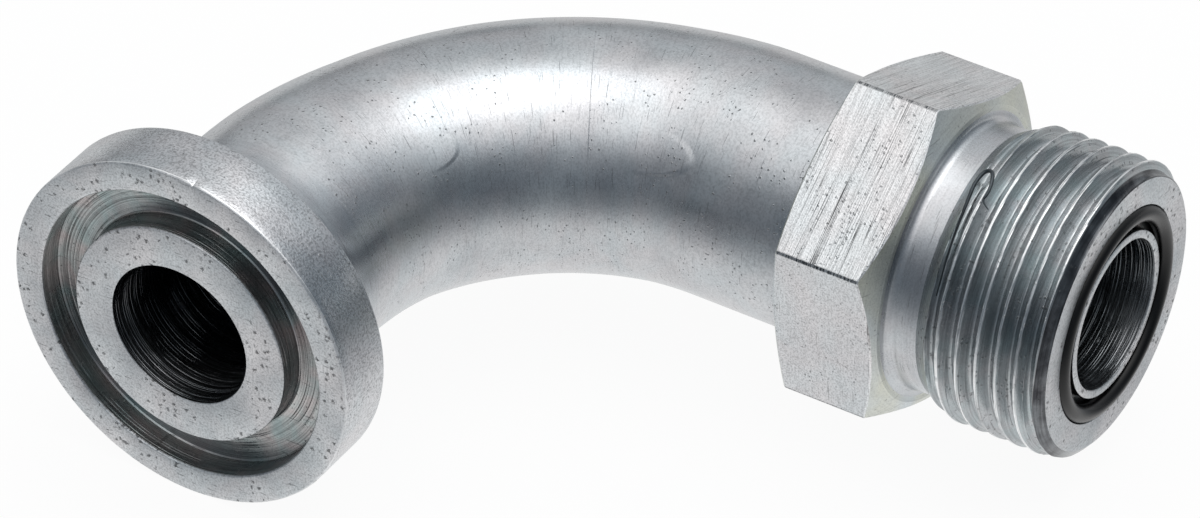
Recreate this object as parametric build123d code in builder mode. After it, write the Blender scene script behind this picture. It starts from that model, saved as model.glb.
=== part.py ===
from build123d import *
import os
from math import radians, tan

# Hydraulic elbow adapter: a split-flange head on one leg, a hexagon and a threaded face-seal end on the
# other. The origin is the centre of the flange's sealing face. The flange leg runs along +Y from there and
# the threaded leg along +X. All sizes are in millimetres.

# Elbow
flange_leg = 50.4  # the flange's sealing face to the threaded leg's axis
thread_leg = 73.7  # the flange leg's axis to the threaded end's face
bend_radius = 33.4  # centre line of the bend
shank_diameter = 25.2
bore_diameter = 15.4

# Flange head, 3/4 inch standard series
head_diameter = 38.1
head_thickness = 6.73
head_back_break = 0.4
neck_start_diameter = 31.8  # where the neck leaves the back of the head
neck_length = 7.4  # from the back of the head to where the neck meets the shank
flange_groove_outer_diameter = 31.9
flange_groove_inner_diameter = 24.0
flange_groove_depth = 2.8
flange_edge_break = 0.25

# Hexagon
hex_across_flats = 31.75
hex_corner_diameter = 36.5  # the corners are turned down to this
hex_length = 11.2
hex_chamfer_diameter = 30.4  # inner edge of the turned cone at each end
hex_back_chamfer_angle = 15.0
hex_front_chamfer_angle = 25.0
hex_corner_lean = 7.4  # how far the top corner leans out of upright, towards the flange

# Threaded end, 1-3/16 inch, plain at its major diameter
thread_major_diameter = 30.16
thread_end_length = 17.6  # hexagon to face
thread_chamfer_length = 0.9
face_diameter = 27.8
relief_diameter = 27.2
relief_length = 5.9  # hexagon to where the thread has its full diameter
relief_cone_angle = 30.0  # between the axis and the cone that the thread starts on
relief_fillet = 1.0

# Face seal groove and its ring
seal_groove_outer_diameter = 22.2
seal_groove_inner_diameter = 17.1
seal_groove_depth = 1.3
ring_section_diameter = 1.78
ring_clearance = 0.02  # from the ring to the groove's floor and to its outer wall

os.makedirs("parts", exist_ok=True)

# Stations along the legs, and the planes and axis they are drawn on
neck_end = head_thickness + neck_length
hex_front = thread_leg - thread_end_length
hex_back = hex_front - hex_length
thread_start = hex_front + relief_length
flange_face = Plane(origin=(0, 0, 0), x_dir=(1, 0, 0), z_dir=(0, -1, 0))
thread_section = Plane(origin=(0, flange_leg, 0), x_dir=(1, 0, 0), z_dir=(0, 0, 1))
thread_face = Plane(origin=(thread_leg, flange_leg, 0), x_dir=(0, 1, 0), z_dir=(1, 0, 0))
thread_axis = Axis((0, flange_leg, 0), (1, 0, 0))

# Body: head, bent shank, hexagon and threaded end in one piece
with BuildPart() as fitting_body:
    # A hexagonal prism, its corners turned to a cylinder and its ends to a cone
    with BuildSketch(thread_face.offset(hex_back - thread_leg)):
        RegularPolygon(hex_across_flats / 2, 6, major_radius=False, rotation=90 + hex_corner_lean)
    extrude(amount=hex_length)
    with BuildSketch(thread_section):
        corner_radius = hex_corner_diameter / 2
        cone_radius = hex_chamfer_diameter / 2
        back_cone_length = (corner_radius - cone_radius) * tan(radians(hex_back_chamfer_angle))
        front_cone_length = (corner_radius - cone_radius) * tan(radians(hex_front_chamfer_angle))
        with BuildLine():
            Polyline(
                (hex_back, 0),
                (hex_back, cone_radius),
                (hex_back + back_cone_length, corner_radius),
                (hex_front - front_cone_length, corner_radius),
                (hex_front, cone_radius),
                (hex_front, 0),
                close=True,
            )
        make_face()
    revolve(axis=thread_axis, mode=Mode.INTERSECT)

    # Shank, bent along the centre line that the bore follows too
    with BuildLine() as centre_line:
        flange_run = Line((0, 0), (0, flange_leg - bend_radius))
        bend = JernArc(flange_run @ 1, flange_run % 1, bend_radius, -90)
        Line(bend @ 1, (thread_leg, flange_leg))
    with BuildSketch(flange_face):
        Circle(shank_diameter / 2)
    sweep(path=centre_line.line)

    # Flange head, with a neck that runs into the shank
    with BuildSketch(Plane.XY) as head_profile:
        with BuildLine():
            rim_line = Polyline((0, 0), (head_diameter / 2, 0), (head_diameter / 2, head_thickness))
            back_line = Line(rim_line @ 1, (neck_start_diameter / 2, head_thickness))
            neck = TangentArc((shank_diameter / 2, neck_end), back_line @ 1, tangent=(0, -1))
            Polyline(neck @ 0, (0, neck_end), rim_line @ 0)
        make_face()
        back_corner = head_profile.vertices().group_by(Axis.X)[-1].sort_by(Axis.Y)[-1]
        chamfer(back_corner, head_back_break)
    revolve(axis=Axis.Y)

    # Seal groove in the flange face
    with BuildSketch(flange_face):
        Circle(flange_groove_outer_diameter / 2)
        Circle(flange_groove_inner_diameter / 2, mode=Mode.SUBTRACT)
    extrude(amount=-flange_groove_depth, mode=Mode.SUBTRACT)
    chamfer(fitting_body.faces().group_by(Axis.Y)[0].edges(), flange_edge_break)

    # Threaded end, relieved next to the hexagon and chamfered at its face
    with BuildSketch(thread_section):
        relief_radius = relief_diameter / 2
        thread_radius = thread_major_diameter / 2
        root_radius = relief_radius + relief_fillet
        cone_start = thread_start - (thread_radius - relief_radius) / tan(radians(relief_cone_angle))
        with BuildLine():
            root = CenterArc((hex_front + relief_fillet, root_radius), relief_fillet, 180, 90)
            Polyline(
                root @ 1,
                (cone_start, relief_radius),
                (thread_start, thread_radius),
                (thread_leg - thread_chamfer_length, thread_radius),
                (thread_leg, face_diameter / 2),
                (thread_leg, 0),
                (hex_front, 0),
                root @ 0,
            )
        make_face()
    revolve(axis=thread_axis)

    # Groove for the face seal, inside a flush lip
    with BuildSketch(thread_face):
        Circle(seal_groove_outer_diameter / 2)
        Circle(seal_groove_inner_diameter / 2, mode=Mode.SUBTRACT)
    extrude(amount=-seal_groove_depth, mode=Mode.SUBTRACT)

    # Bore, from face to face
    with BuildSketch(flange_face):
        Circle(bore_diameter / 2)
    sweep(path=centre_line.line, mode=Mode.SUBTRACT)

fitting_body.part.label = "fitting_body"

# Seal ring, lying on the groove's floor and against its outer wall
ring_radius = ring_section_diameter / 2
ring_path_radius = seal_groove_outer_diameter / 2 - ring_clearance - ring_radius
ring_station = thread_leg - seal_groove_depth + ring_clearance + ring_radius
with BuildPart() as face_seal_ring:
    with BuildSketch(thread_section):
        with Locations((ring_station, ring_path_radius)):
            Circle(ring_radius)
    revolve(axis=thread_axis)

face_seal_ring.part.label = "face_seal_ring"

export_step(fitting_body.part, "parts/fitting_body.step")
export_step(face_seal_ring.part, "parts/face_seal_ring.step")
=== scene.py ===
import math

import bpy
import numpy as np
from mathutils import Matrix, Vector


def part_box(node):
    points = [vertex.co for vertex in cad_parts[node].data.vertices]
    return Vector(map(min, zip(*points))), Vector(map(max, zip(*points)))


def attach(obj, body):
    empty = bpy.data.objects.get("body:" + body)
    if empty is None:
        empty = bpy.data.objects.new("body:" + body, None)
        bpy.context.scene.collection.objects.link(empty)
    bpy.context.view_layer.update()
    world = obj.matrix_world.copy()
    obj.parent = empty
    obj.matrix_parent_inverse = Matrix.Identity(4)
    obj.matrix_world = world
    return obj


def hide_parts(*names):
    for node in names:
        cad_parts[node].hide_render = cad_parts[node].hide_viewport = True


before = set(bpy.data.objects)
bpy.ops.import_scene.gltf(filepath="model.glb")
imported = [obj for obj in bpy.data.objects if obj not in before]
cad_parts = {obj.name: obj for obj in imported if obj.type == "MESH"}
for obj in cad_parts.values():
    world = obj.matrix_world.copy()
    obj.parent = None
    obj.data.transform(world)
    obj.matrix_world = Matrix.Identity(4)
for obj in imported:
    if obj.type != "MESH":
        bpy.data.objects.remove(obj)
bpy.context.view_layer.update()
bodyLow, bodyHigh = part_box("fitting_body")
mm = 0.001
print("frame loaded")


def addNode(tree, kind, settings=None, inputs=None, stops=()):
    # Inputs may be plain values, sockets, or nodes, which give their first output; stops are a colour ramp's
    node = tree.nodes.new(kind)
    for name, value in (settings or {}).items():
        setattr(node, name, value)
    for name, value in (inputs or {}).items():
        if isinstance(value, bpy.types.Node):
            value = value.outputs[0]
        if isinstance(value, bpy.types.NodeSocket):
            tree.links.new(value, node.inputs[name])
        else:
            node.inputs[name].default_value = value
    for number, (where, hexText) in enumerate(stops):
        elements = node.color_ramp.elements
        stop = elements[number] if number < 2 else elements.new(where)
        stop.position = where
        stop.color = linearColour(hexText)
    return node


def linearColour(hexText):
    parts = [int(hexText[i:i + 2], 16) / 255 for i in (1, 3, 5)]
    return [p / 12.92 if p < 0.04045 else ((p + 0.055) / 1.055) ** 2.4 for p in parts] + [1.0]


# ---- steel ----
# Every steel pattern reads "straightPlace": the place in millimetres on the fitting before it was bent, with
# its axis along Y, so that turning, drawing and milling marks follow the shape round the bend.

plainLook = {
    "darkColour": "#BFC2C5", "paleColour": "#D8DADC", "cloudSize": 7.0,
    "warmTint": "#F3EDED", "coolTint": "#EAF0F2", "tintSize": 6.0, "tintShare": 0.5,
    "roughness": 0.27, "marksFacing": False,
    "markLength": 2.0, "markSpacing": 0.15, "markDepth": 0.003, "markShade": 0.08,
    "scoreLength": 60.0, "scoreSpacing": 0.9, "scoreWidth": 0.02, "scoreDepth": 0.0, "scoreShade": 0.0,
    "grainSize": 0.18, "grainDepth": 0.004, "grainShade": 0.14,
    "pitSpacing": 0.5, "pitRadius": 0.11, "pitCluster": 5.0, "pitChance": 1.1,
    "pitDepth": 0.02, "pitShade": 0.48,
    "hairLength": 3.0, "hairWidth": 0.14, "hairDepth": 0.008, "hairShade": 0.3,
    "hairLeans": (0.5, 2.2), "spreadRadius": 12.6,
    "edgeWearAndPaintedLightRadius": 99.0, "edgeWearAndPaintedLightWidth": 0.07, "edgeWearAndPaintedLightColour": "#F4F5F6",
}


def steelMaterial(name, changes, extraHeight=None):
    look = plainLook | changes
    material = bpy.data.materials.new(name)
    material.use_nodes = True
    tree = material.node_tree
    tree.nodes.clear()
    place = addNode(tree, "ShaderNodeAttribute", {"attribute_name": "straightPlace"}).outputs["Vector"]
    parts = addNode(tree, "ShaderNodeSeparateXYZ", inputs={0: place}).outputs
    flat = addNode(tree, "ShaderNodeCombineXYZ", inputs={0: parts["X"], 2: parts["Z"]})
    radius = addNode(tree, "ShaderNodeVectorMath", {"operation": "LENGTH"}, {0: flat}).outputs["Value"]

    # Tool marks run round the axis, spaced along it, and also out from it where an end was faced
    across = addNode(tree, "ShaderNodeMath", {"operation": "MULTIPLY_ADD"}, {
        0: radius, 1: 1.0 if look["marksFacing"] else 0.0, 2: parts["Y"]})
    course = addNode(tree, "ShaderNodeCombineXYZ", inputs={0: parts["X"], 1: across, 2: parts["Z"]})
    stretch = [1 / look["markLength"], 1 / look["markSpacing"], 1 / look["markLength"]]
    scaled = addNode(tree, "ShaderNodeVectorMath", {"operation": "MULTIPLY"}, {0: course, 1: stretch})
    marks = addNode(tree, "ShaderNodeTexNoise", inputs={"Vector": scaled, "Scale": 1.0, "Detail": 2.0})
    stretch = [1 / look["scoreLength"], 1 / look["scoreSpacing"], 1 / look["scoreLength"]]
    scaled = addNode(tree, "ShaderNodeVectorMath", {"operation": "MULTIPLY"}, {0: course, 1: stretch})
    scoreField = addNode(tree, "ShaderNodeTexNoise", inputs={"Vector": scaled, "Scale": 1.0, "Detail": 1.0})
    fromScore = addNode(tree, "ShaderNodeMath", {"operation": "SUBTRACT"}, {0: scoreField, 1: 0.5})
    fromScore = addNode(tree, "ShaderNodeMath", {"operation": "ABSOLUTE"}, {0: fromScore})
    cluster = addNode(tree, "ShaderNodeTexNoise", inputs={
        "Vector": place, "Scale": 1 / look["pitCluster"], "Detail": 2.0})
    broken = addNode(tree, "ShaderNodeMapRange", inputs={"Value": cluster, "From Min": 0.35, "From Max": 0.6})
    scores = addNode(tree, "ShaderNodeMapRange", inputs={
        "Value": fromScore, "From Min": look["scoreWidth"], "From Max": 0.0, "To Max": broken})

    # Grain of the plating, slow clouding, and the faint tints of its passivation
    grain = addNode(tree, "ShaderNodeTexNoise", inputs={
        "Vector": place, "Scale": 1 / look["grainSize"], "Detail": 3.0})
    cloud = addNode(tree, "ShaderNodeTexNoise", inputs={
        "Vector": place, "Scale": 1 / look["cloudSize"], "Detail": 5.0})
    tintField = addNode(tree, "ShaderNodeTexNoise", inputs={
        "Vector": place, "Scale": 1 / look["tintSize"], "Detail": 2.0, "Distortion": 0.6})

    # Small uneven pits, in clusters
    uneven = addNode(tree, "ShaderNodeVectorMath", {"operation": "MULTIPLY_ADD"}, {
        0: grain.outputs["Color"], 1: [look["pitRadius"] * 2.5] * 3, 2: place})
    cells = addNode(tree, "ShaderNodeTexVoronoi", inputs={"Vector": uneven, "Scale": 1 / look["pitSpacing"]})
    luck = addNode(tree, "ShaderNodeSeparateXYZ", inputs={0: cells.outputs["Color"]}).outputs["X"]
    chance = addNode(tree, "ShaderNodeMapRange", inputs={
        "Value": cluster, "From Min": 0.45, "From Max": 0.7, "To Max": look["pitChance"]})
    hit = addNode(tree, "ShaderNodeMath", {"operation": "LESS_THAN"}, {0: luck, 1: chance})
    reach = look["pitRadius"] / look["pitSpacing"]
    hole = addNode(tree, "ShaderNodeMapRange", inputs={
        "Value": cells.outputs["Distance"], "From Min": reach, "From Max": reach * 0.5})
    pits = addNode(tree, "ShaderNodeMath", {"operation": "MULTIPLY"}, {0: hole, 1: hit})

    # Hairline scratches from handling, laid on the surface in two directions
    spread = addNode(tree, "ShaderNodeMath", {"operation": "ARCTAN2"}, {0: parts["Z"], 1: parts["X"]})
    spread = addNode(tree, "ShaderNodeMath", {"operation": "MULTIPLY"}, {0: spread, 1: look["spreadRadius"]})
    surface = [parts["X"], parts["Z"]] if look["marksFacing"] else [spread, parts["Y"]]
    surface = addNode(tree, "ShaderNodeCombineXYZ", inputs={0: surface[0], 1: surface[1]})
    hairs = 0.0
    for lean in look["hairLeans"]:
        turned = addNode(tree, "ShaderNodeMapping", inputs={
            "Vector": surface, "Rotation": (0, 0, lean),
            "Scale": (1 / look["hairLength"], 1 / look["hairWidth"], 1.0)})
        field = addNode(tree, "ShaderNodeTexNoise", inputs={"Vector": turned, "Scale": 1.0, "Detail": 0.0})
        lines = addNode(tree, "ShaderNodeMapRange", inputs={
            "Value": field, "From Min": 0.76, "From Max": 0.82})
        hairs = addNode(tree, "ShaderNodeMath", {"operation": "MAXIMUM"}, {0: lines, 1: hairs})

    # Colour
    tone = addNode(tree, "ShaderNodeMapRange", inputs={"Value": cloud, "From Min": 0.3, "From Max": 0.7})
    base = addNode(tree, "ShaderNodeMix", {"data_type": "RGBA"}, {
        0: tone, 6: linearColour(look["darkColour"]), 7: linearColour(look["paleColour"])}).outputs[2]
    tintSide = addNode(tree, "ShaderNodeMapRange", inputs={
        "Value": tintField, "From Min": 0.35, "From Max": 0.65})
    tint = addNode(tree, "ShaderNodeMix", {"data_type": "RGBA"}, {
        0: tintSide, 6: linearColour(look["coolTint"]), 7: linearColour(look["warmTint"])}).outputs[2]
    base = addNode(tree, "ShaderNodeMix", {"data_type": "RGBA", "blend_type": "MULTIPLY"}, {
        0: look["tintShare"], 6: base, 7: tint}).outputs[2]
    for field, share in ((marks, look["markShade"]), (grain, look["grainShade"])):
        shade = addNode(tree, "ShaderNodeMapRange", inputs={
            "Value": field, "From Min": 0.36, "From Max": 0.56, "To Min": 1 - share, "To Max": 1.0})
        base = addNode(tree, "ShaderNodeVectorMath", {"operation": "SCALE"}, {0: base, "Scale": shade})
    for field, share in ((scores, look["scoreShade"]), (hairs, look["hairShade"]),
                         (pits, look["pitShade"])):
        shade = addNode(tree, "ShaderNodeMapRange", inputs={
            "Value": field, "To Min": 1.0, "To Max": 1 - share})
        base = addNode(tree, "ShaderNodeVectorMath", {"operation": "SCALE"}, {0: base, "Scale": shade})
    # Painted light along edges, partly real wear: a ragged band just inside a given radius takes another
    # colour, pale for painted highlights on crests and edges, dark for painted shade on the hexagon's corners
    ragged = addNode(tree, "ShaderNodeMapRange", inputs={
        "Value": marks, "From Min": 0.4, "From Max": 0.6, "To Min": 0.15, "To Max": 1.0})
    edgeWearAndPaintedLight = addNode(tree, "ShaderNodeMapRange", inputs={
        "Value": radius, "From Min": look["edgeWearAndPaintedLightRadius"] - look["edgeWearAndPaintedLightWidth"], "From Max": look["edgeWearAndPaintedLightRadius"],
        "To Max": ragged})
    base = addNode(tree, "ShaderNodeMix", {"data_type": "RGBA"}, {
        0: edgeWearAndPaintedLight, 6: base, 7: linearColour(look["edgeWearAndPaintedLightColour"])}).outputs[2]
    rough = addNode(tree, "ShaderNodeMapRange", inputs={
        "Value": cloud, "From Min": 0.3, "From Max": 0.7,
        "To Min": look["roughness"] - 0.05, "To Max": look["roughness"] + 0.05})

    # Relief, in metres
    height = extraHeight(tree, parts) if extraHeight else 0.0
    for field, depth in ((marks, look["markDepth"]), (grain, look["grainDepth"]), (scores, -look["scoreDepth"]),
                         (pits, -look["pitDepth"]), (hairs, -look["hairDepth"])):
        height = addNode(tree, "ShaderNodeMath", {"operation": "MULTIPLY_ADD"}, {
            0: field, 1: depth * mm, 2: height})
    bump = addNode(tree, "ShaderNodeBump", inputs={"Strength": 1.0, "Distance": 1.0, "Height": height})
    shader = addNode(tree, "ShaderNodeBsdfPrincipled", inputs={
        "Base Color": base, "Metallic": 1.0, "Roughness": rough, "Normal": bump})
    addNode(tree, "ShaderNodeOutputMaterial", inputs={"Surface": shader})
    return material


dieMarks = {
    "ringStation": 52.9, "ringWidth": 0.1, "ringDepth": 0.024,  # a line scribed round the bend
    "dents": (  # flats left by the bending dies: station, angle, half length, half width, depth
        (60.5, 0.66, 8.0, 0.2, 0.2),
        (31.0, 0.78, 4.5, 0.16, 0.07),
    ),
}


def dieMarkHeight(tree, parts):
    fromRing = addNode(tree, "ShaderNodeMath", {"operation": "SUBTRACT"}, {
        0: parts["Y"], 1: dieMarks["ringStation"]})
    fromRing = addNode(tree, "ShaderNodeMath", {"operation": "ABSOLUTE"}, {0: fromRing})
    height = addNode(tree, "ShaderNodeMapRange", inputs={
        "Value": fromRing, "From Max": dieMarks["ringWidth"],
        "To Min": -dieMarks["ringDepth"] * mm, "To Max": 0.0})
    angle = addNode(tree, "ShaderNodeMath", {"operation": "ARCTAN2"}, {0: parts["Z"], 1: parts["X"]})
    for station, middle, halfLength, halfWidth, depth in dieMarks["dents"]:
        along = addNode(tree, "ShaderNodeMapRange", {"clamp": False}, {
            "Value": parts["Y"], "From Min": station, "From Max": station + halfLength})
        around = addNode(tree, "ShaderNodeMapRange", {"clamp": False}, {
            "Value": angle, "From Min": middle, "From Max": middle + halfWidth})
        apart = addNode(tree, "ShaderNodeCombineXYZ", inputs={0: along, 1: around})
        apart = addNode(tree, "ShaderNodeVectorMath", {"operation": "LENGTH"}, {0: apart}).outputs["Value"]
        dent = addNode(tree, "ShaderNodeMapRange", {"interpolation_type": "SMOOTHSTEP"}, {
            "Value": apart, "From Min": 1.0, "From Max": 0.8})
        crisp = addNode(tree, "ShaderNodeMapRange", inputs={
            "Value": along, "From Min": -0.2, "From Max": 0.9})
        dent = addNode(tree, "ShaderNodeMath", {"operation": "MULTIPLY"}, {0: dent, 1: crisp})
        tipped = addNode(tree, "ShaderNodeMapRange", inputs={
            "Value": around, "From Min": 1.0, "From Max": -1.0, "To Max": 1.0})
        dent = addNode(tree, "ShaderNodeMath", {"operation": "MULTIPLY"}, {0: dent, 1: tipped})
        height = addNode(tree, "ShaderNodeMath", {"operation": "MULTIPLY_ADD"}, {
            0: dent, 1: -depth * mm, 2: height})
    return height


# One steel and one bright zinc plating. What differs is how each surface was made, and so its gloss:
finishes = {
    # drawn tube, bent: a soft satin with broad highlights
    "shank": steelMaterial("zincPlatedBentSteel", {
        "markLength": 0.7, "markSpacing": 0.3, "markShade": 0.07, "grainSize": 0.24,
        "grainShade": 0.18, "grainDepth": 0.005, "pitSpacing": 0.6, "pitRadius": 0.13, "pitChance": 1.5,
        "pitShade": 0.66, "hairWidth": 0.1, "hairShade": 0.42}, dieMarkHeight),
    # turned, at the neck and at the relief behind the thread: smoother than the shank, and a shade darker
    "neck": steelMaterial("zincPlatedTurnedSteel", {
        "markLength": 8.0, "markSpacing": 0.2, "pitChance": 0.2, "darkColour": "#B4B8BC"}),
    # forged and turned rim: a grainy glitter
    "rim": steelMaterial("zincPlatedForgedSteel", {
        "darkColour": "#C8CBCE", "paleColour": "#E4E6E8", "grainSize": 0.22,
        "grainDepth": 0.026, "grainShade": 0.4, "markDepth": 0.0, "pitChance": 1.0}),
    # faced ends: flat and matt, specked and scratched, with a ragged painted highlight round the head's front
    # edge
    "face": steelMaterial("zincPlatedFacedSteel", {
        "marksFacing": True, "markLength": 5.0, "markSpacing": 0.13, "markDepth": 0.004, "roughness": 0.4,
        "grainSize": 0.22, "grainDepth": 0.009, "grainShade": 0.3, "pitSpacing": 0.8, "pitRadius": 0.26,
        "pitChance": 1.6, "pitShade": 0.7, "hairShade": 0.5, "hairLength": 1.5,
        "darkColour": "#C2C6C9", "paleColour": "#EEEFF0", "cloudSize": 5.0,
        "edgeWearAndPaintedLightRadius": 19.05, "edgeWearAndPaintedLightWidth": 0.25}),
    # turned grooves: fine bright rings, with the passivation's faint pinks and greens
    "groove": steelMaterial("zincPlatedGroovedSteel", {
        "darkColour": "#9EA5A9", "marksFacing": True, "markLength": 14.0, "markSpacing": 0.12,
        "markDepth": 0.018, "markShade": 0.4,
        "scoreSpacing": 0.6, "scoreDepth": 0.03, "scoreShade": 0.5, "scoreWidth": 0.04,
        "warmTint": "#F4E6E2", "coolTint": "#E2EEEA", "tintSize": 3.5, "tintShare": 0.9}),
    # the hexagon's ends: a matt, faintly yellow cone
    "hexEnd": steelMaterial("zincPlatedChamferedSteel", {
        "marksFacing": True, "markLength": 12.0, "markSpacing": 0.14, "markDepth": 0.004, "roughness": 0.45,
        "darkColour": "#DCDEE0", "paleColour": "#F2F4F4",
        "warmTint": "#F6F4E0", "coolTint": "#E8EEF0", "tintSize": 11.0, "tintShare": 0.8}),
    # milled flats: bright, with sharp dark lines across them, and painted shade along the hexagon's corners
    "hex": steelMaterial("zincPlatedMilledSteel", {
        "paleColour": "#FFFFFF", "darkColour": "#F4F5F6", "roughness": 0.33,
        "markLength": 5.0, "markSpacing": 0.075, "markDepth": 0.006, "markShade": 0.32,
        "scoreDepth": 0.015, "scoreShade": 1.0, "scoreSpacing": 0.4,
        "grainDepth": 0.015, "grainShade": 0.28, "pitRadius": 0.16, "pitChance": 1.2,
        "edgeWearAndPaintedLightRadius": 18.25, "edgeWearAndPaintedLightColour": "#3C4145"}),
    # flats left as drawn: matt and grainy, with painted shade along the hexagon's corners
    "plainFlat": steelMaterial("zincPlatedDrawnSteel", {
        "paleColour": "#F2F3F4", "darkColour": "#DCDEE0", "roughness": 0.42, "grainDepth": 0.014,
        "grainShade": 0.32, "pitRadius": 0.12, "pitChance": 0.9, "pitCluster": 4.0,
        "edgeWearAndPaintedLightRadius": 18.25, "edgeWearAndPaintedLightColour": "#3C4145"}),
    # cut thread: coloured darker all over as painted shade between its crests, and pale along its crests as a
    # painted highlight that is partly rubbed wear
    "thread": steelMaterial("zincPlatedThreadSteel", {
        "darkColour": "#AEB3B6", "paleColour": "#C8CCCE", "roughness": 0.24,
        "markLength": 12.0, "markSpacing": 0.12, "markDepth": 0.006, "markShade": 0.25,
        "scoreSpacing": 0.8, "scoreDepth": 0.02, "scoreShade": 0.4, "coolTint": "#E2EEEE", "tintSize": 3.0,
        "pitCluster": 3.0, "pitChance": 1.0, "pitRadius": 0.16, "edgeWearAndPaintedLightRadius": 15.08}),
    # the chamfer that ends the thread: turned through the plating, glossy, and coloured dark partly as painted
    # shade for the dark reflection along it; pale along its outer edge as a painted highlight
    "chamfer": steelMaterial("chamferSteelAndPaintedShade", {
        "darkColour": "#48494D", "paleColour": "#8C8F92", "cloudSize": 2.0, "roughness": 0.2,
        "markLength": 6.0, "markSpacing": 0.12, "markDepth": 0.006, "markShade": 0.4, "hairShade": 0.0,
        "edgeWearAndPaintedLightRadius": 15.05, "edgeWearAndPaintedLightWidth": 0.2}),
    # bored steel: coloured darker than the outside as painted shade inside the bore, with strong turning
    # streaks
    "bore": steelMaterial("boredSteel", {
        "darkColour": "#8C9195", "paleColour": "#BEC2C5", "roughness": 0.26,
        "markLength": 5.0, "markSpacing": 0.16, "markDepth": 0.02, "markShade": 0.6,
        "scoreSpacing": 0.5, "scoreDepth": 0.03, "scoreShade": 0.5, "scoreWidth": 0.04, "pitChance": 0.0}),
    # torn steel: rough, and coloured near black partly as painted shade for the dark shadow line round it
    "sliver": steelMaterial("tornSteelAndPaintedShade", {"darkColour": "#24282C", "paleColour": "#5C6266", "roughness": 0.3}),
}


def rubberMaterial():
    # Moulded nitrile: a black, oily gloss with slow changes in it
    material = bpy.data.materials.new("mouldedNitrileRubber")
    material.use_nodes = True
    tree = material.node_tree
    shader = tree.nodes["Principled BSDF"]
    place = addNode(tree, "ShaderNodeTexCoord").outputs["Object"]
    cloud = addNode(tree, "ShaderNodeTexNoise", inputs={
        "Vector": place, "Scale": 1 / (sealRing["cloudSize"] * mm), "Detail": 4.0})
    gloss, dull = sealRing["roughness"]
    rough = addNode(tree, "ShaderNodeMapRange", inputs={"Value": cloud, "To Min": gloss, "To Max": dull})
    tree.links.new(rough.outputs["Result"], shader.inputs["Roughness"])
    shader.inputs["Base Color"].default_value = linearColour(sealRing["colour"])
    shader.inputs["IOR"].default_value = sealRing["index"]
    shader.inputs["Specular IOR Level"].default_value = sealRing["shine"]
    return material


print("materials made")

# ---- the fitting's body ----
# One closed surface of revolution with a hexagon in it, made straight along Y, threaded, and then bent.

elbow = {
    "flangeLeg": 50.4, "threadLeg": bodyHigh.x / mm, "bendRadius": 33.4, "shankRadius": 12.6, "boreRadius": 7.7,
    "swell": ((0, 12.6), (8, 12.6), (24, 12.35), (45, 12.55), (76, 12.65), (88, 12.87)),  # bend degrees, radius
    "headRadius": bodyHigh.z / mm, "headThickness": 6.73, "headBackBreak": 0.4,
    "neckRadius": 15.9, "neckLength": 7.4,
    "grooveOuter": 15.95, "grooveInner": 12.0, "grooveDepth": 2.8, "grooveCorner": 0.35, "edgeBreak": 0.25,
    "hexFlats": 31.75, "hexCorners": 18.25, "hexLength": 11.2, "coneRadius": 15.2,
    "backConeAngle": 15.0, "frontConeAngle": 25.0, "hexLean": 7.4,
    "threadRadius": 15.08, "endLength": 17.6, "chamferLength": 0.9, "faceRadius": 13.9,
    "reliefRadius": 13.6, "reliefLength": 5.9, "reliefConeAngle": 30.0, "reliefFillet": 1.0,
    "sealOuter": 11.1, "sealInner": 8.55, "sealDepth": 1.3, "fineBreak": 0.12,
    "columnsPerFlat": 36, "threadStep": 0.07, "bendStep": 1.2, "neckSteps": 14, "plainFlats": (0, 3),
    "sharpAngle": 17.0,
}
wear = {"seed": 5, "edgeRoughness": 0.02, "nickAngle": 83.0, "nickWidth": 0.5, "nickDepth": 0.22}


def rounded(corners, steps=3):
    # corners: (along, out, radius); a radius replaces the corner with an arc
    path = []
    for i, (along, out, radius) in enumerate(corners):
        here = Vector((along, out))
        if radius == 0:
            path.append(here)
            continue
        toLast = (Vector(corners[i - 1][:2]) - here).normalized()
        toNext = (Vector(corners[i + 1][:2]) - here).normalized()
        half = toLast.angle(toNext) / 2
        centre = here + (toLast + toNext).normalized() * (radius / math.sin(half))
        first = here + toLast * (radius / math.tan(half)) - centre
        sweep = math.pi - 2 * half
        side = 1 if toLast.x * toNext.y - toLast.y * toNext.x < 0 else -1
        for k in range(steps + 1):
            turn = side * sweep * k / steps
            path.append(centre + Matrix.Rotation(turn, 2) @ first)
    return path


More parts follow.
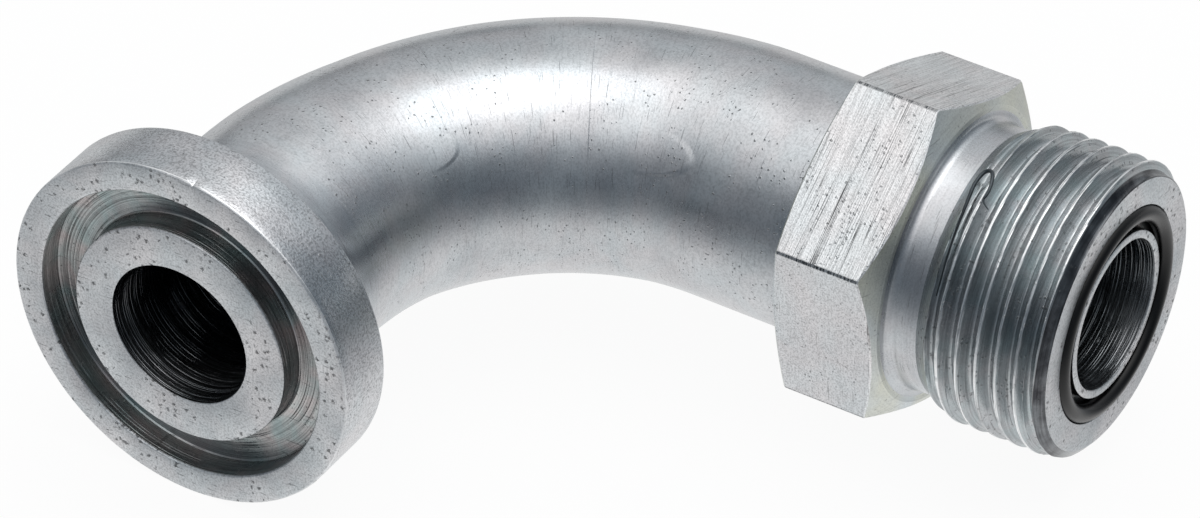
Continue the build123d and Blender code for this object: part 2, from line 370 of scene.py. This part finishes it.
def bodyOutline(sizes):
    # Rows run from the bore's edge at the flange, over the outside, to the other face and back down the bore
    s = sizes
    bendLength = s["bendRadius"] * math.pi / 2
    straight = s["flangeLeg"] - s["bendRadius"]
    length = straight + bendLength + s["threadLeg"] - s["bendRadius"]
    neckEnd = s["headThickness"] + s["neckLength"]
    hexFront = length - s["endLength"]
    hexBack = hexFront - s["hexLength"]
    e = s["edgeBreak"]
    f = s["fineBreak"]
    rows = []

    def add(part, points, kind="round", then=None):
        # A surface runs on from its last point, unless another begins there
        rows.extend((part, p[0], p[1], kind) for p in points)
        if then:
            rows[-1] = (then,) + rows[-1][1:]

    # Flange face with its groove, and the head
    mouth = [(0.5, s["boreRadius"], 0), (0, s["boreRadius"], f), (0, s["boreRadius"] + 0.5, 0)]
    add("face", rounded(mouth)[1:-1])
    inside = [(0, s["grooveInner"] - 1, 0), (0, s["grooveInner"], e), (1, s["grooveInner"], 0)]
    add("face", rounded(inside)[1:-1], then="groove")
    depth = s["grooveDepth"]
    corner = s["grooveCorner"]
    floor = [
        (depth - 1, s["grooveInner"], 0), (depth, s["grooveInner"], corner),
        (depth, s["grooveOuter"], corner), (depth - 1, s["grooveOuter"], 0),
    ]
    add("groove", rounded(floor)[1:-1])
    outside = [(1, s["grooveOuter"], 0), (0, s["grooveOuter"], e), (0, s["grooveOuter"] + 1, 0)]
    add("face", rounded(outside)[1:-1])
    edge = [(0, s["headRadius"] - 1, 0), (0, s["headRadius"], e), (1, s["headRadius"], 0)]
    add("face", rounded(edge)[1:-1], "wornEdge", then="rim")
    back = s["headThickness"]
    add("rim", [(back * share, s["headRadius"]) for share in (0.15, 0.3, 0.6)])
    add("rim", rounded([
        (back - 2, s["headRadius"], 0), (back, s["headRadius"], s["headBackBreak"]),
        (back, s["headRadius"] - 2, 0),
    ])[1:-1])

    # The neck is an arc that meets the shank flush
    rise = s["neckRadius"] - s["shankRadius"]
    arcRadius = (rise ** 2 + s["neckLength"] ** 2) / (2 * rise)
    arcSweep = math.asin(s["neckLength"] / arcRadius)
    for k in range(s["neckSteps"] + 1):
        turn = arcSweep * (1 - k / s["neckSteps"])
        along = neckEnd - arcRadius * math.sin(turn)
        add("neck", [(along, s["shankRadius"] + arcRadius * (1 - math.cos(turn)))])

    # Bent shank, a little thinner after the first die and thicker towards the hexagon
    swellAt, swellRadius = zip(*s["swell"])
    count = math.ceil((hexBack - neckEnd) / s["bendStep"])
    for k in range(1, count + 1):
        along = neckEnd + (hexBack - neckEnd) * k / count
        bendDegrees = math.degrees((along - straight) / s["bendRadius"])
        add("shank", [(along, float(np.interp(bendDegrees, swellAt, swellRadius)))],
            then="hexEnd" if k == count else None)

    # Hexagon, between two turned cones
    add("hexEnd", [(hexBack, s["coneRadius"] - f), (hexBack, s["coneRadius"])])
    add("hexEnd", [(hexBack, 0)], "coneBack")
    add("hex", [(hexBack, 0)], "flatBack")
    add("hex", [(hexFront, 0)], "flatFront")
    add("hexEnd", [(hexFront, 0)], "coneFront")
    add("hexEnd", [(hexFront, s["coneRadius"]), (hexFront, s["coneRadius"] - f)])

    # Relief, the cone that the thread starts on, and the thread's blank with its chamfer
    relief = s["reliefRadius"]
    threadStart = hexFront + s["reliefLength"]
    threadEnd = length - s["chamferLength"]
    slope = math.tan(math.radians(s["reliefConeAngle"]))
    coneStart = threadStart - (s["threadRadius"] - relief) / slope
    add("neck", rounded(
        [(hexFront, relief + 2, 0), (hexFront, relief, s["reliefFillet"]), (hexFront + 2, relief, 0)], 6
    )[1:-1])
    count = math.ceil((length - coneStart) / s["threadStep"])
    for k in range(count + 1):
        along = coneStart + (length - coneStart) * k / count
        out = min(relief + (along - coneStart) * slope, s["threadRadius"])
        share = (along - threadEnd) / s["chamferLength"]
        chamfered = s["threadRadius"] + (s["faceRadius"] - s["threadRadius"]) * share
        add("chamfer" if along > threadEnd else "thread", [(along, min(out, chamfered))],
            then="face" if k == count else None)

    # End face with the seal groove inside its lip
    seal = s["sealOuter"]
    lip = s["sealInner"]
    bottom = length - s["sealDepth"]
    add("face", rounded([(length, seal + 1, 0), (length, seal, f), (length - 1, seal, 0)])[1:-1], then="groove")
    add("groove", rounded([
        (bottom + 0.5, seal, 0), (bottom, seal, f), (bottom, lip, f), (bottom + 0.5, lip, 0)
    ])[1:-1])
    add("face", rounded([(length - 1, lip, 0), (length, lip, f), (length, lip - 0.5, 0)])[1:-1])

    # Bore, with close rows only where it bends
    bore = s["boreRadius"]
    mouth = [(length, bore + 0.5, 0), (length, bore, f), (length - 0.5, bore, 0)]
    add("face", rounded(mouth)[1:-1], then="bore")
    bendEnd = straight + bendLength
    count = math.ceil(bendLength / s["bendStep"])
    add("bore", [(length + (bendEnd - length) * k / 8, bore) for k in range(1, 8)])
    add("bore", [(bendEnd - bendLength * k / count, bore) for k in range(count + 1)])
    add("bore", [(straight * (1 - k / 4), bore) for k in range(1, 4)])
    stations = {"coneStart": coneStart, "threadEnd": threadEnd, "straight": straight}
    return rows, stations


def straightBody(sizes):
    rows, stations = bodyOutline(sizes)
    apothem = sizes["hexFlats"] / 2
    halfFlat = math.acos(apothem / sizes["hexCorners"])
    across = np.linspace(-halfFlat, halfFlat, sizes["columnsPerFlat"])
    fromFlat = np.tile(across, 6)
    flatNumber = np.repeat(np.arange(6), sizes["columnsPerFlat"])
    turn = fromFlat + np.radians(60 * flatNumber - sizes["hexLean"])
    hexOut = np.minimum(apothem / np.cos(fromFlat), sizes["hexCorners"])
    f = sizes["fineBreak"]
    dice = np.random.default_rng(wear["seed"])
    places = np.zeros((len(rows), len(turn), 3))
    for i, (part, along, out, kind) in enumerate(rows):
        if kind in ("round", "wornEdge"):
            y = np.full(len(turn), float(along))
            r = np.full(len(turn), float(out))
        else:
            angle = sizes["backConeAngle"] if kind.endswith("Back") else sizes["frontConeAngle"]
            side = 1 if kind.endswith("Back") else -1
            rise = math.tan(math.radians(angle))
            inset = (hexOut - sizes["coneRadius"]) * rise
            if kind.startswith("cone"):
                y, r = along + side * (inset - f * rise), hexOut - f
            else:
                y, r = along + side * (inset + f), hexOut
        if kind == "wornEdge":
            fromNick = np.degrees(turn) - wear["nickAngle"]
            fromNick = np.radians((fromNick + 180) % 360 - 180) * out
            nick = wear["nickDepth"] * np.maximum(0, 1 - np.abs(fromNick) / wear["nickWidth"])
            dents = wear["edgeRoughness"] * dice.random(len(turn))
            r = r - nick - dents
        places[i] = np.stack([r * np.cos(turn), y, r * np.sin(turn)], axis=-1)
    return rows, flatNumber, stations, places


def wovenMesh(name, places, slots):
    # Joins rows and columns of points into one closed skin of quads
    rows, columns = places.shape[:2]
    here = np.arange(rows * columns).reshape(rows, columns)
    above = np.roll(here, -1, axis=0)
    beside = np.roll(here, -1, axis=1)
    across = np.roll(above, -1, axis=1)
    quads = np.stack([here, beside, across, above], axis=-1).reshape(-1, 4)
    mesh = bpy.data.meshes.new(name)
    mesh.from_pydata((places.reshape(-1, 3) * mm).tolist(), [], quads.tolist())
    mesh.polygons.foreach_set("material_index", np.ascontiguousarray(slots.reshape(-1), dtype=np.int32))
    mesh.validate()
    return mesh


def newTree(name, settings):
    # A geometry tree with one named input for each size
    tree = bpy.data.node_groups.new(name, "GeometryNodeTree")
    face = tree.interface
    face.new_socket("Geometry", in_out="INPUT", socket_type="NodeSocketGeometry")
    for title in settings:
        face.new_socket(title, in_out="INPUT", socket_type="NodeSocketFloat")
    face.new_socket("Finish", in_out="INPUT", socket_type="NodeSocketMaterial")
    face.new_socket("Geometry", in_out="OUTPUT", socket_type="NodeSocketGeometry")
    return tree, addNode(tree, "NodeGroupInput").outputs


def threadTree(settings):
    # Cuts a helical thread into whatever lies past a station along Y, down to a rounded root
    tree, given = newTree("cutThread", settings)
    place = addNode(tree, "GeometryNodeInputPosition")
    parts = addNode(tree, "ShaderNodeSeparateXYZ", inputs={0: place}).outputs
    flat = addNode(tree, "ShaderNodeCombineXYZ", inputs={0: parts["X"], 2: parts["Z"]})
    out = addNode(tree, "ShaderNodeVectorMath", {"operation": "LENGTH"}, {0: flat}).outputs["Value"]
    turn = addNode(tree, "ShaderNodeMath", {"operation": "ARCTAN2"}, {0: parts["Z"], 1: parts["X"]})
    turn = addNode(tree, "ShaderNodeMath", {"operation": "MULTIPLY_ADD"}, {
        0: turn, 1: 1 / (2 * math.pi), 2: given["First Crest"]})
    along = addNode(tree, "ShaderNodeMath", {"operation": "SUBTRACT"}, {0: parts["Y"], 1: given["Start"]})
    pitches = addNode(tree, "ShaderNodeMath", {"operation": "DIVIDE"}, {0: along, 1: given["Pitch"]})
    phase = addNode(tree, "ShaderNodeMath", {"operation": "ADD"}, {0: pitches, 1: turn})
    phase = addNode(tree, "ShaderNodeMath", {"operation": "FRACT"}, {0: phase})
    phase = addNode(tree, "ShaderNodeMath", {"operation": "SUBTRACT"}, {0: phase, 1: 0.5})
    phase = addNode(tree, "ShaderNodeMath", {"operation": "ABSOLUTE"}, {0: phase})
    # half of the crest's flat, which is an eighth of the pitch
    pastCrest = addNode(tree, "ShaderNodeMath", {"operation": "SUBTRACT"}, {0: phase, 1: 1 / 16})
    slope = addNode(tree, "ShaderNodeMath", {"operation": "MULTIPLY"}, {0: given["Pitch"], 1: math.sqrt(3)})
    drop = addNode(tree, "ShaderNodeMath", {"operation": "MULTIPLY"}, {0: pastCrest, 1: slope})
    drop = addNode(tree, "ShaderNodeMath", {"operation": "SMOOTH_MIN"}, {
        0: drop, 1: given["Depth"], 2: given["Root Rounding"]})
    drop = addNode(tree, "ShaderNodeMath", {"operation": "MAXIMUM"}, {0: drop, 1: 0.0})
    # the crests are rubbed in patches about 0.9 mm across
    rub = addNode(tree, "ShaderNodeTexNoise", inputs={
        "Vector": place, "Scale": 1 / (0.9 * mm), "Detail": 1.0})
    rub = addNode(tree, "ShaderNodeMapRange", inputs={
        "Value": rub.outputs["Fac"], "From Min": 0.55, "From Max": 0.75, "To Max": given["Crest Wear"]})
    drop = addNode(tree, "ShaderNodeMath", {"operation": "MAXIMUM"}, {0: drop, 1: rub})
    cut = addNode(tree, "ShaderNodeMath", {"operation": "SUBTRACT"}, {0: given["Major Radius"], 1: drop})
    cut = addNode(tree, "ShaderNodeMath", {"operation": "MINIMUM"}, {0: out, 1: cut})
    share = addNode(tree, "ShaderNodeMath", {"operation": "DIVIDE"}, {0: cut, 1: out})
    scaling = addNode(tree, "ShaderNodeCombineXYZ", inputs={0: share, 1: 1.0, 2: share})
    moved = addNode(tree, "ShaderNodeVectorMath", {"operation": "MULTIPLY"}, {0: place, 1: scaling})
    past = addNode(tree, "ShaderNodeMath", {"operation": "GREATER_THAN"}, {0: parts["Y"], 1: given["Start"]})
    outside = addNode(tree, "ShaderNodeMath", {"operation": "GREATER_THAN"}, {
        0: out, 1: given["Inner Radius"]})
    chosen = addNode(tree, "ShaderNodeMath", {"operation": "MULTIPLY"}, {0: past, 1: outside})
    beforeEnd = addNode(tree, "ShaderNodeMath", {"operation": "LESS_THAN"}, {0: parts["Y"], 1: given["End"]})
    plated = addNode(tree, "ShaderNodeMath", {"operation": "MULTIPLY"}, {0: chosen, 1: beforeEnd})
    threaded = addNode(tree, "GeometryNodeSetPosition", inputs={
        "Geometry": given["Geometry"], "Selection": chosen, "Position": moved})
    realized = addNode(tree, "GeometryNodeRealizeInstances", inputs={0: threaded})
    finished = addNode(tree, "GeometryNodeSetMaterial", inputs={
        "Geometry": realized, "Selection": plated, "Material": given["Finish"]})
    addNode(tree, "NodeGroupOutput", inputs={0: finished})
    return tree


def bendTree(settings):
    # Wraps whatever lies past the start of the bend round an arc, then carries on straight
    tree, given = newTree("bendShank", settings)
    place = addNode(tree, "GeometryNodeInputPosition")
    millimetres = addNode(tree, "ShaderNodeVectorMath", {"operation": "SCALE"}, {0: place, "Scale": 1 / mm})
    kept = addNode(tree, "GeometryNodeStoreNamedAttribute", {"data_type": "FLOAT_VECTOR", "domain": "POINT"}, {
        "Geometry": given["Geometry"], "Name": "straightPlace", "Value": millimetres})
    parts = addNode(tree, "ShaderNodeSeparateXYZ", inputs={0: place}).outputs
    past = addNode(tree, "ShaderNodeMath", {"operation": "SUBTRACT"}, {0: parts["Y"], 1: given["Start"]})
    past = addNode(tree, "ShaderNodeMath", {"operation": "MAXIMUM"}, {0: past, 1: 0.0})
    arcLength = addNode(tree, "ShaderNodeMath", {"operation": "MULTIPLY"}, {
        0: given["Radius"], 1: given["Angle"]})
    onArc = addNode(tree, "ShaderNodeMath", {"operation": "MINIMUM"}, {0: past, 1: arcLength})
    turn = addNode(tree, "ShaderNodeMath", {"operation": "DIVIDE"}, {0: onArc, 1: given["Radius"]})
    beyond = addNode(tree, "ShaderNodeMath", {"operation": "SUBTRACT"}, {0: past, 1: onArc})
    before = addNode(tree, "ShaderNodeMath", {"operation": "MINIMUM"}, {0: parts["Y"], 1: given["Start"]})
    sine = addNode(tree, "ShaderNodeMath", {"operation": "SINE"}, {0: turn})
    cosine = addNode(tree, "ShaderNodeMath", {"operation": "COSINE"}, {0: turn})
    reach = addNode(tree, "ShaderNodeMath", {"operation": "SUBTRACT"}, {0: given["Radius"], 1: parts["X"]})
    sideways = addNode(tree, "ShaderNodeMath", {"operation": "MULTIPLY"}, {0: reach, 1: cosine})
    x = addNode(tree, "ShaderNodeMath", {"operation": "SUBTRACT"}, {0: given["Radius"], 1: sideways})
    x = addNode(tree, "ShaderNodeMath", {"operation": "MULTIPLY_ADD"}, {0: beyond, 1: sine, 2: x})
    y = addNode(tree, "ShaderNodeMath", {"operation": "MULTIPLY_ADD"}, {0: reach, 1: sine, 2: before})
    y = addNode(tree, "ShaderNodeMath", {"operation": "MULTIPLY_ADD"}, {0: beyond, 1: cosine, 2: y})
    bent = addNode(tree, "ShaderNodeCombineXYZ", inputs={0: x, 1: y, 2: parts["Z"]})
    moved = addNode(tree, "GeometryNodeSetPosition", inputs={"Geometry": kept, "Position": bent})
    realized = addNode(tree, "GeometryNodeRealizeInstances", inputs={0: moved})
    spot = addNode(tree, "GeometryNodeInputMaterialIndex")
    isShank = addNode(tree, "ShaderNodeMath", {"operation": "COMPARE"}, {
        0: spot, 1: given["Shank Slot"], 2: 0.1})
    finished = addNode(tree, "GeometryNodeSetMaterial", inputs={
        "Geometry": realized, "Selection": isShank, "Material": given["Finish"]})
    addNode(tree, "NodeGroupOutput", inputs={0: finished})
    return tree


def applyTree(piece, tree, settings, finish):
    # Sets the inputs by their identifiers, and keeps the result as a plain mesh
    modifier = piece.modifiers.new(tree.name, "NODES")
    modifier.node_group = tree
    values = settings | {"Finish": finish}
    for item in tree.interface.items_tree:
        if item.in_out == "INPUT" and item.name in values:
            modifier[item.identifier] = values[item.name]
    solved = bpy.data.meshes.new_from_object(piece.evaluated_get(bpy.context.evaluated_depsgraph_get()))
    piece.modifiers.remove(modifier)
    piece.data = solved


thread = {"Pitch": 25.4 / 12 * mm, "Major Radius": elbow["threadRadius"] * mm, "Depth": 1.25 * mm,
          "Root Rounding": 1.0 * mm, "Inner Radius": 13.0 * mm, "First Crest": 0.081, "Crest Wear": 0.05 * mm}


def makeBody():
    rows, flatNumber, stations, places = straightBody(elbow)
    names = list(finishes)
    slots = np.array([[names.index(row[0])] * len(flatNumber) for row in rows])
    hexRow = [row[3] for row in rows].index("flatBack")
    slots[hexRow, np.isin(flatNumber, elbow["plainFlats"])] = names.index("plainFlat")
    mesh = wovenMesh("elbowBody", places, slots)
    for finish in finishes.values():
        mesh.materials.append(finish)
    piece = bpy.data.objects.new("elbowBody", mesh)
    bpy.context.collection.objects.link(piece)
    threading = thread | {"Start": stations["coneStart"] * mm, "End": stations["threadEnd"] * mm}
    applyTree(piece, threadTree(threading), threading, finishes["thread"])
    bending = {"Start": stations["straight"] * mm, "Radius": elbow["bendRadius"] * mm, "Angle": math.pi / 2,
               "Shank Slot": names.index("shank")}
    applyTree(piece, bendTree(bending), bending, finishes["shank"])
    piece.data.polygons.foreach_set("use_smooth", [True] * len(piece.data.polygons))
    piece.data.set_sharp_from_angle(angle=math.radians(elbow["sharpAngle"]))
    return piece


elbowBody = makeBody()
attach(elbowBody, "root")
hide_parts("fitting_body")
print("body made:", len(elbowBody.data.polygons), "faces")

# ---- a curled sliver left where the thread starts ----
# Its route is (along the threaded leg, degrees up from facing -Y, out from the axis, thickness); its last three
# points carry it on down the thread past the hook as a dark line

sliver = {"thickness": 0.2, "route": (
    (61.3, 24, 14.55, 0.3), (61.2, 36, 14.6, 0.5), (61.0, 50, 14.6, 0.6), (60.75, 62, 14.6, 0.9),
    (60.5, 70, 14.8, 1.0), (61.0, 75, 15.2, 1.0), (61.9, 74.5, 15.55, 1.0), (62.5, 69, 15.65, 0.9),
    (62.6, 65, 15.5, 0.7), (62.3, 62.5, 15.3, 0.5), (63.3, 60.5, 15.2, 0.3))}


def makeSliver():
    curve = bpy.data.curves.new("threadSliver", "CURVE")
    curve.dimensions = "3D"
    curve.bevel_depth = sliver["thickness"] * mm
    curve.bevel_resolution = 3
    curve.use_fill_caps = True
    spline = curve.splines.new("NURBS")
    spline.points.add(len(sliver["route"]) - 1)
    for point, (x, degrees, out, share) in zip(spline.points, sliver["route"]):
        y = elbow["flangeLeg"] - out * math.cos(math.radians(degrees))
        point.co = (x * mm, y * mm, out * math.sin(math.radians(degrees)) * mm, 1.0)
        point.radius = share
    spline.order_u = 3
    spline.use_endpoint_u = True
    drawn = bpy.data.objects.new("drawnSliver", curve)
    bpy.context.collection.objects.link(drawn)
    mesh = bpy.data.meshes.new_from_object(drawn.evaluated_get(bpy.context.evaluated_depsgraph_get()))
    bpy.data.objects.remove(drawn)
    spots = np.zeros(len(mesh.vertices) * 3, dtype=np.float32)
    mesh.vertices.foreach_get("co", spots)
    mesh.attributes.new("straightPlace", "FLOAT_VECTOR", "POINT").data.foreach_set("vector", spots / mm)
    mesh.materials.clear()
    mesh.materials.append(finishes["sliver"])
    piece = bpy.data.objects.new("threadSliver", mesh)
    bpy.context.collection.objects.link(piece)
    return piece


threadSliver = makeSliver()
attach(threadSliver, "root")
print("sliver made")

# ---- seal ring ----
# An O-ring of 1.78 mm section, lying on the floor of the face's groove against its outer wall

sealRing = {"sectionRadius": 0.89, "clearance": 0.02, "around": 160, "sectionSteps": 32,
            "colour": "#060607", "index": 1.52, "shine": 0.3, "roughness": (0.2, 0.38), "cloudSize": 3}


def makeRing():
    section = sealRing["sectionRadius"]
    pathRadius = elbow["sealOuter"] - sealRing["clearance"] - section
    station = elbow["threadLeg"] - elbow["sealDepth"] + sealRing["clearance"] + section
    turn = np.arange(sealRing["around"]) * 2 * math.pi / sealRing["around"]
    roll = np.arange(sealRing["sectionSteps"]) * 2 * math.pi / sealRing["sectionSteps"]
    out = pathRadius + section * np.cos(roll)
    x = station + section * np.sin(roll)
    y = elbow["flangeLeg"] + out[:, None] * np.cos(turn)
    z = out[:, None] * np.sin(turn)
    places = np.stack([np.broadcast_to(x[:, None], y.shape), y, z], axis=-1)
    mesh = wovenMesh("sealRing", places, np.zeros(y.shape))
    mesh.materials.append(rubberMaterial())
    mesh.polygons.foreach_set("use_smooth", [True] * len(mesh.polygons))
    piece = bpy.data.objects.new("sealRing", mesh)
    bpy.context.collection.objects.link(piece)
    return piece


ring = makeRing()
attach(ring, "root")
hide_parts("face_seal_ring")
print("seal ring made")

# ---- floor, light and camera ----
# A light tent: bright overhead, dim to the front and sides at the object's own height, paler behind.
# Each ramp's places are the sine of the height above the horizon, or for the floor how steeply it is seen.

studio = {
    "floorSize": 3.0, "floorColour": "#F4F4F4", "floorWhiteness": 0.94,
    "keyPower": 0.5, "keySize": 0.5, "keyPlace": (0.08, 0.08, 0.65),  # from the object's centre, metres
    "tentStrength": 1.7, "backHeading": (-0.53, 0.85, 0.0), "tentBackStart": 0.2, "tentBackEnd": 0.8,
    "frontTones": ((0.0, "#5A6168"), (0.26, "#646A70"), (0.5, "#767B80"), (0.707, "#BEC1C4"), (0.8, "#E4E4E4"),
                   (0.9, "#F0F0F0"), (1.0, "#FFFFFF")),
    "backTones": ((0.0, "#6A6D70"), (0.25, "#B0B2B4"), (0.5, "#BABCBE"), (0.707, "#BEBFC0"), (0.866, "#CCCCCC"),
                  (1.0, "#FFFFFF")),
    "fadeStart": -0.05, "fadeEnd": -0.5, "fadeTone": 0.8,  # dimmer away to the -X side
    "floorTones": ((0.0, "#FFFFFF"), (0.293, "#FFFFFF"), (0.384, "#F4F4F4"), (0.5, "#D4D6D8"),
                   (0.74, "#94999E"), (1.0, "#7C8288")),
    "floorBackTone": "#E4E4E4", "floorBackStart": 0.03, "floorBackEnd": 0.12,
    "flagHeading": (0.985, 0.05, 0.16), "flagOuter": 0.92, "flagInner": 0.975, "flagTone": 0.75,  # a black flag
}


def makeFloor():
    half = studio["floorSize"] / 2
    z = bodyLow.z
    mesh = bpy.data.meshes.new("floor")
    corners = [(-half, -half, z), (half, -half, z), (half, half, z), (-half, half, z)]
    mesh.from_pydata(corners, [], [(0, 1, 2, 3)])
    material = bpy.data.materials.new("paleFloor")
    material.use_nodes = True
    tree = material.node_tree
    tree.nodes.clear()
    light = addNode(tree, "ShaderNodeLightPath").outputs
    facing = addNode(tree, "ShaderNodeLayerWeight", inputs={"Blend": 0.5}).outputs["Facing"]
    seen = addNode(tree, "ShaderNodeMath", {"operation": "MULTIPLY"}, {
        0: light["Is Camera Ray"], 1: studio["floorWhiteness"]})
    mirrored = addNode(tree, "ShaderNodeMath", {"operation": "MAXIMUM"}, {
        0: light["Is Glossy Ray"], 1: light["Is Transmission Ray"]})
    matt = addNode(tree, "ShaderNodeBsdfDiffuse", inputs={"Color": linearColour(studio["floorColour"])})
    white = addNode(tree, "ShaderNodeEmission", inputs={"Color": (1, 1, 1, 1), "Strength": 1.0})
    spot = addNode(tree, "ShaderNodeTexCoord").outputs["Object"]
    behind = addNode(tree, "ShaderNodeVectorMath", {"operation": "DOT_PRODUCT"}, {
        0: spot, 1: studio["backHeading"]}).outputs["Value"]
    behind = addNode(tree, "ShaderNodeMapRange", inputs={
        "Value": behind, "From Min": studio["floorBackStart"], "From Max": studio["floorBackEnd"]})
    near = addNode(tree, "ShaderNodeValToRGB", inputs={0: facing}, stops=studio["floorTones"])
    tones = addNode(tree, "ShaderNodeMix", {"data_type": "RGBA", "blend_type": "LIGHTEN"}, {
        0: behind, 6: near, 7: linearColour(studio["floorBackTone"])})
    paler = addNode(tree, "ShaderNodeEmission", inputs={"Color": tones.outputs[2], "Strength": 1.0})
    mixed = addNode(tree, "ShaderNodeMixShader", inputs={0: seen, 1: matt, 2: white})
    mixed = addNode(tree, "ShaderNodeMixShader", inputs={0: mirrored, 1: mixed, 2: paler})
    addNode(tree, "ShaderNodeOutputMaterial", inputs={"Surface": mixed})
    mesh.materials.append(material)
    piece = bpy.data.objects.new("floor", mesh)
    bpy.context.collection.objects.link(piece)


def makeWorld():
    world = bpy.data.worlds.new("lightTent")
    bpy.context.scene.world = world
    world.use_nodes = True
    tree = world.node_tree
    tree.nodes.clear()
    heading = addNode(tree, "ShaderNodeTexCoord").outputs["Generated"]
    high = addNode(tree, "ShaderNodeSeparateXYZ", inputs={0: heading}).outputs["Z"]
    behind = addNode(tree, "ShaderNodeVectorMath", {"operation": "DOT_PRODUCT"}, {
        0: heading, 1: studio["backHeading"]}).outputs["Value"]
    behind = addNode(tree, "ShaderNodeMapRange", inputs={
        "Value": behind, "From Min": studio["tentBackStart"], "From Max": studio["tentBackEnd"]})
    front = addNode(tree, "ShaderNodeValToRGB", inputs={0: high}, stops=studio["frontTones"])
    back = addNode(tree, "ShaderNodeValToRGB", inputs={0: high}, stops=studio["backTones"])
    tones = addNode(tree, "ShaderNodeMix", {"data_type": "RGBA"}, {0: behind, 6: front, 7: back}).outputs[2]
    towards = addNode(tree, "ShaderNodeVectorMath", {"operation": "DOT_PRODUCT"}, {
        0: heading, 1: studio["flagHeading"]}).outputs["Value"]
    flagged = addNode(tree, "ShaderNodeMapRange", inputs={
        "Value": towards, "From Min": studio["flagOuter"], "From Max": studio["flagInner"],
        "To Min": 1.0, "To Max": studio["flagTone"]})
    sideways = addNode(tree, "ShaderNodeSeparateXYZ", inputs={0: heading}).outputs["X"]
    faded = addNode(tree, "ShaderNodeMapRange", inputs={
        "Value": sideways, "From Min": studio["fadeStart"], "From Max": studio["fadeEnd"],
        "To Min": flagged, "To Max": studio["fadeTone"]})
    tones = addNode(tree, "ShaderNodeVectorMath", {"operation": "SCALE"}, {0: tones, "Scale": faded})
    tent = addNode(tree, "ShaderNodeBackground", inputs={"Color": tones, "Strength": studio["tentStrength"]})
    white = addNode(tree, "ShaderNodeBackground", inputs={"Color": (1, 1, 1, 1), "Strength": 1.0})
    seen = addNode(tree, "ShaderNodeLightPath").outputs["Is Camera Ray"]
    mixed = addNode(tree, "ShaderNodeMixShader", inputs={0: seen, 1: tent, 2: white})
    addNode(tree, "ShaderNodeOutputWorld", inputs={"Surface": mixed})


def makeLamp(name, place, target, size, power):
    lamp = bpy.data.lights.new(name, "AREA")
    lamp.shape = "DISK"
    lamp.size = size
    lamp.energy = power
    piece = bpy.data.objects.new(name, lamp)
    bpy.context.collection.objects.link(piece)
    piece.location = place
    piece.rotation_euler = (Vector(target) - Vector(place)).to_track_quat("-Z", "Y").to_euler()


view = {"azimuth": 31.857, "elevation": 38.086, "roll": 0.323, "distance": 683.94,
        "aim": (17.50, 47.50, -14.93), "lens": 205.65, "sensor": 36.0}


def makeCamera():
    azimuth, elevation, roll = (math.radians(view[k]) for k in ("azimuth", "elevation", "roll"))
    back = Vector((math.sin(azimuth) * math.cos(elevation), -math.cos(azimuth) * math.cos(elevation),
                   math.sin(elevation)))
    side = Vector((0, 0, 1)).cross(back).normalized()
    up = back.cross(side)
    right = side * math.cos(roll) + up * math.sin(roll)
    up = up * math.cos(roll) - side * math.sin(roll)
    lens = bpy.data.cameras.new("productCamera")
    lens.sensor_width = view["sensor"]
    lens.lens = view["lens"]
    lens.clip_start = 0.01
    camera = bpy.data.objects.new("productCamera", lens)
    bpy.context.collection.objects.link(camera)
    place = Vector(view["aim"]) * mm + back * view["distance"] * mm
    camera.matrix_world = Matrix.Translation(place) @ Matrix((right, up, back)).transposed().to_4x4()
    bpy.context.scene.camera = camera


makeFloor()
makeWorld()
centre = (bodyLow + bodyHigh) / 2
makeLamp("keySoftbox", centre + Vector(studio["keyPlace"]), centre, studio["keySize"], studio["keyPower"])
makeCamera()
bpy.context.scene.view_settings.view_transform = "Standard"
print("studio set")
